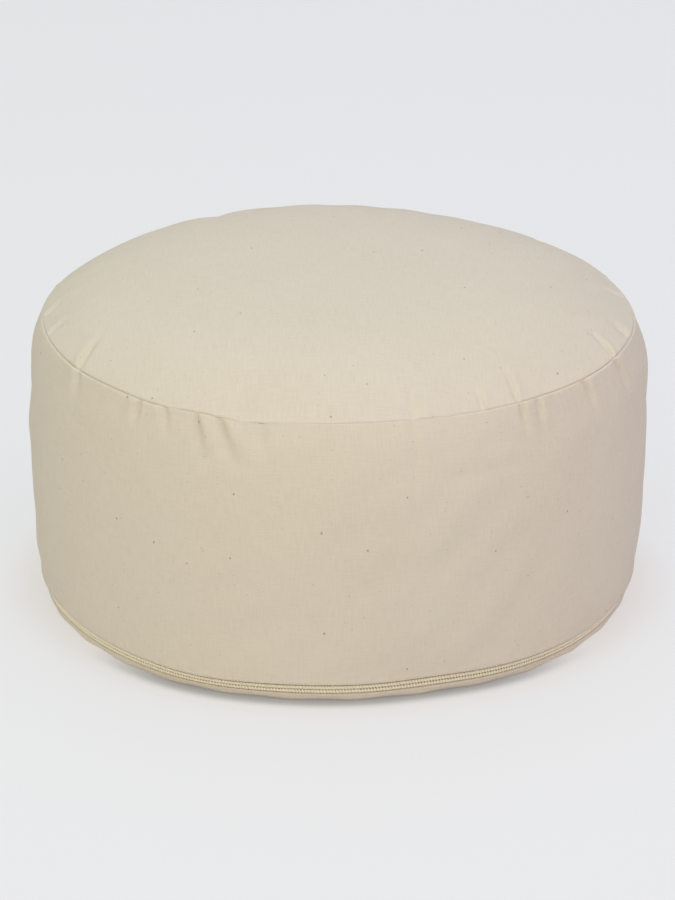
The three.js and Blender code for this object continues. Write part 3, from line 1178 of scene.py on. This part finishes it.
@dataclass
class CoilZip:
    """A closed nylon coil zip in the front of the lower seam: two rows of coil on two woven tapes."""

    shape: CoverShape
    coil: CoilFinish
    tape: ZipTapeFinish
    teeth: int = 381
    wire: float = 0.34
    broad: float = 0.80
    sits_low: float = 0.45
    sides: int = 8
    lean: float = 0.12
    stagger: float = 0.25
    broadens: Point = (0.2, 1.0)
    turn_path: tuple[Point, ...] = (
        (1.96, -1.55), (2.10, -1.10), (1.98, -0.74), (1.66, -0.57), (1.30, -0.54),
        (0.95, -0.58), (0.62, -0.72), (0.30, -0.98), (0.06, -1.25), (-0.06, -1.5),
    )
    core: tuple[Point, ...] = (
        (2.05, -1.7), (2.12, -0.95), (1.8, -0.52), (1.3, -0.38), (0.92, -0.48), (0.66, -0.9), (0.66, -1.7),
    )
    core_steps: int = 420

    @property
    def pitch(self) -> float:
        """Distance from one tooth to the next."""
        return self.shape.zip_length / self.teeth

    def tooth(self, row: Row) -> Array:
        """One turn of the coil.

        Args:
            row: The row that it belongs to.

        Returns:
            Rings of points: distance up across the zip, out of the cover and along the zip.
        """
        path = np.array(self.turn_path)
        slope = np.gradient(path, axis=0)
        slope /= np.linalg.norm(slope, axis=1, keepdims=True)
        normal = np.stack([-slope[:, 1], slope[:, 0]], axis=-1)
        round_wire = np.linspace(0.0, math.tau, self.sides, endpoint=False)
        up = path[:, :1] + self.wire * np.cos(round_wire) * normal[:, :1]
        out = path[:, 1:] + self.wire * np.cos(round_wire) * normal[:, 1:]
        slant = self.lean * self.pitch * np.linspace(-1.0, 1.0, len(path))[:, None]
        breadth = self.wire + (self.broad - self.wire) * ramp(path[:, :1], *self.broadens)
        along = slant + breadth * np.sin(round_wire)
        return np.stack([up * row.value - self.sits_low, out, along * row.value], axis=-1)

    def core_strip(self, row: Row, first: int) -> tuple[Array, list[list[int]]]:
        """The cord that the turns are wound round.

        Args:
            row: The row that it belongs to.
            first: Number of its first corner.

        Returns:
            Corner positions in mm, and the corner numbers of each face.
        """
        up, out = np.array(self.core).T
        half = self.shape.zip_half_angle
        angle = np.linspace(-half, half, self.core_steps)[:, None]
        section = self.shape.channel(up * row.value - self.sits_low, out)
        points = np.broadcast_to(section, (self.core_steps, len(up), 2))
        positions = self.shape.settled(points, np.broadcast_to(angle, points.shape[:2])).reshape(-1, 3)
        step = first + np.arange(self.core_steps - 1)[:, None] * len(up)
        side = np.arange(len(up))
        after = (side + 1) % len(up)
        quads = np.stack([step + side, step + after, step + len(up) + after, step + len(up) + side], axis=-1)
        if row is Row.LOWER:
            quads = quads[..., ::-1]
        last = first + (self.core_steps - 1) * len(up)
        ends = [(first + side).tolist(), (last + side[::-1]).tolist()]
        return positions, quads.reshape(-1, 4).tolist() + ends

    def build_row(self, row: Row) -> bpy.types.Object:
        """Build one row of coil in place of its solid.

        Args:
            row: Which row.

        Returns:
            The piece.
        """
        tooth = self.tooth(row)
        rings, sides = tooth.shape[:2]
        place = np.arange(self.teeth) + 0.5 + self.stagger * row.value
        along = place * self.pitch - self.shape.zip_length / 2.0
        up, out = tooth[..., 0].ravel(), tooth[..., 1].ravel()
        points = np.broadcast_to(self.shape.channel(up, out), (self.teeth, up.size, 2))
        arc = along[:, None] + tooth[..., 2].ravel()
        angle = np.degrees(arc / self.shape.zip_middle[0])
        positions = self.shape.settled(points, angle).reshape(-1, 3)
        ring = np.arange(rings - 1)[:, None] * sides
        side = np.arange(sides)
        following = (side + 1) % sides
        quads = np.stack([ring + side, ring + following, ring + sides + following, ring + sides + side], -1)
        if row is Row.UPPER:
            quads = quads[..., ::-1]
        start = (np.arange(self.teeth) * up.size)[:, None, None]
        faces = (start + quads.reshape(1, -1, 4)).reshape(-1, 4).tolist()
        for first in (np.arange(self.teeth) * up.size).tolist():
            faces.append([first + n for n in range(sides)])
            faces.append([first + (rings - 1) * sides + n for n in range(sides)])
        name = f"zip_coil_{row.name.lower()}"
        core, core_faces = self.core_strip(row, len(positions))
        positions = np.concatenate([positions, core])
        faces.extend(core_faces)
        piece = add_piece(f"coil_turns_{row.name.lower()}", positions, faces, self.coil.material())
        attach(piece, "root")
        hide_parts(name)
        return piece

    def dress_tape(self, row: Row) -> None:
        """Give one tape its woven finish.

        Args:
            row: Which tape.
        """
        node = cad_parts[f"zip_tape_{row.name.lower()}"]
        node.data.materials.clear()
        node.data.materials.append(self.tape.material())

    def build(self) -> list[bpy.types.Object]:
        """Build both rows and dress both tapes."""
        for row in Row:
            self.dress_tape(row)
        return [self.build_row(row) for row in Row]


@dataclass(frozen=True)
class SoftBox:
    """A large soft light that faces the cushion."""

    name: str
    azimuth: float
    elevation: float
    size: float
    colour: Colour
    power: float
    distance: float = 2.4

    def build(self, aim: Vector) -> bpy.types.Object:
        """Add the light.

        Args:
            aim: The point that it faces, in metres.

        Returns:
            The light.
        """
        turn, rise = math.radians(self.azimuth), math.radians(self.elevation)
        way = Vector((math.sin(turn) * math.cos(rise), -math.cos(turn) * math.cos(rise), math.sin(rise)))
        data = bpy.data.lights.new(self.name, "AREA")
        data.shape = "SQUARE"
        data.size = self.size
        data.color = self.colour
        data.energy = self.power
        light = bpy.data.objects.new(self.name, data)
        light.location = aim + way * self.distance
        light.rotation_euler = (-way).to_track_quat("-Z", "Y").to_euler()
        bpy.context.scene.collection.objects.link(light)
        return light


@dataclass
class Studio:
    """Pale floor, soft light and the camera at the photo's angle."""

    floor: FloorFinish
    distance: float = 2200.0
    elevation: float = 22.6
    aim: tuple[float, float, float] = (-0.42, 0.0, 71.19)
    lens: float = 168.4
    sensor: float = 36.0
    floor_size: float = 14.0
    sky: Colour = (1.000, 0.976, 0.948)
    sky_strength: float = 0.2171
    lights: tuple[SoftBox, ...] = field(
        default_factory=lambda: (
            SoftBox("overhead", 0.0, 89.9, 2.4, (0.774, 0.903, 1.000), 10.58),
            SoftBox("left_high", -60.0, 58.0, 1.6, (0.892, 1.000, 0.828), 6.59),
            SoftBox("front_high", 0.0, 58.0, 1.6, (0.963, 1.000, 0.903), 3.90),
            SoftBox("right_high", 60.0, 58.0, 1.6, (0.833, 0.858, 1.000), 10.46),
            SoftBox("back_high", 180.0, 58.0, 1.6, (0.795, 0.898, 1.000), 13.64),
            SoftBox("left_low", -105.0, 28.0, 1.4, (0.951, 0.921, 1.000), 2.53),
            SoftBox("front_low_left", -35.0, 28.0, 1.4, (1.000, 0.978, 0.760), 10.09),
            SoftBox("front_low", 0.0, 28.0, 1.4, (1.000, 0.914, 0.784), 6.52),
            SoftBox("front_low_right", 35.0, 28.0, 1.4, (1.000, 0.847, 0.968), 5.65),
            SoftBox("right_low", 105.0, 28.0, 1.4, (0.849, 0.635, 1.000), 5.46),
        )
    )

    def build_floor(self) -> bpy.types.Object:
        """Lay the floor just under the base.

        Returns:
            The floor.
        """
        half = self.floor_size / 2.0 / MM
        corners = np.array([[-half, -half, 0.0], [half, -half, 0.0], [half, half, 0.0], [-half, half, 0.0]])
        floor = add_piece("floor", corners, [[0, 1, 2, 3]], self.floor.material())
        return floor

    def build_camera(self) -> bpy.types.Object:
        """Stand the camera at the photo's angle.

        Returns:
            The camera.
        """
        rise = math.radians(self.elevation)
        aim = Vector(self.aim) * MM
        way = Vector((0.0, -math.cos(rise), math.sin(rise)))
        data = bpy.data.cameras.new("camera")
        data.lens = self.lens
        data.sensor_width = self.sensor
        camera = bpy.data.objects.new("camera", data)
        camera.location = aim + way * self.distance * MM
        camera.rotation_euler = (-way).to_track_quat("-Z", "Y").to_euler()
        bpy.context.scene.collection.objects.link(camera)
        bpy.context.scene.camera = camera
        return camera

    def build(self) -> None:
        """Build floor, camera, sky and lights, and leave colours as they are lit."""
        scene = bpy.context.scene
        scene.view_settings.view_transform = "Standard"
        world = bpy.data.worlds.new("sky")
        world.use_nodes = True
        sky = world.node_tree.nodes["Background"]
        sky.inputs["Color"].default_value = (*self.sky, 1.0)
        sky.inputs["Strength"].default_value = self.sky_strength
        scene.world = world
        self.build_floor()
        self.build_camera()
        for light in self.lights:
            light.build(Vector(self.aim) * MM)


def main() -> None:
    """Build the cover, the zip and the studio in order, and report each."""
    logging.basicConfig(level=logging.INFO, format="%(name)s: %(message)s")
    shape = CoverShape()
    cover = FilledCover(shape, CanvasFinish()).build()
    log.info("cover: %d faces", len(cover.data.polygons))
    for row in CoilZip(shape, CoilFinish(), ZipTapeFinish()).build():
        log.info("%s: %d faces", row.name, len(row.data.polygons))
    Studio(FloorFinish()).build()
    log.info("studio: floor, camera and lights")


if __name__ == "__main__":
    main()
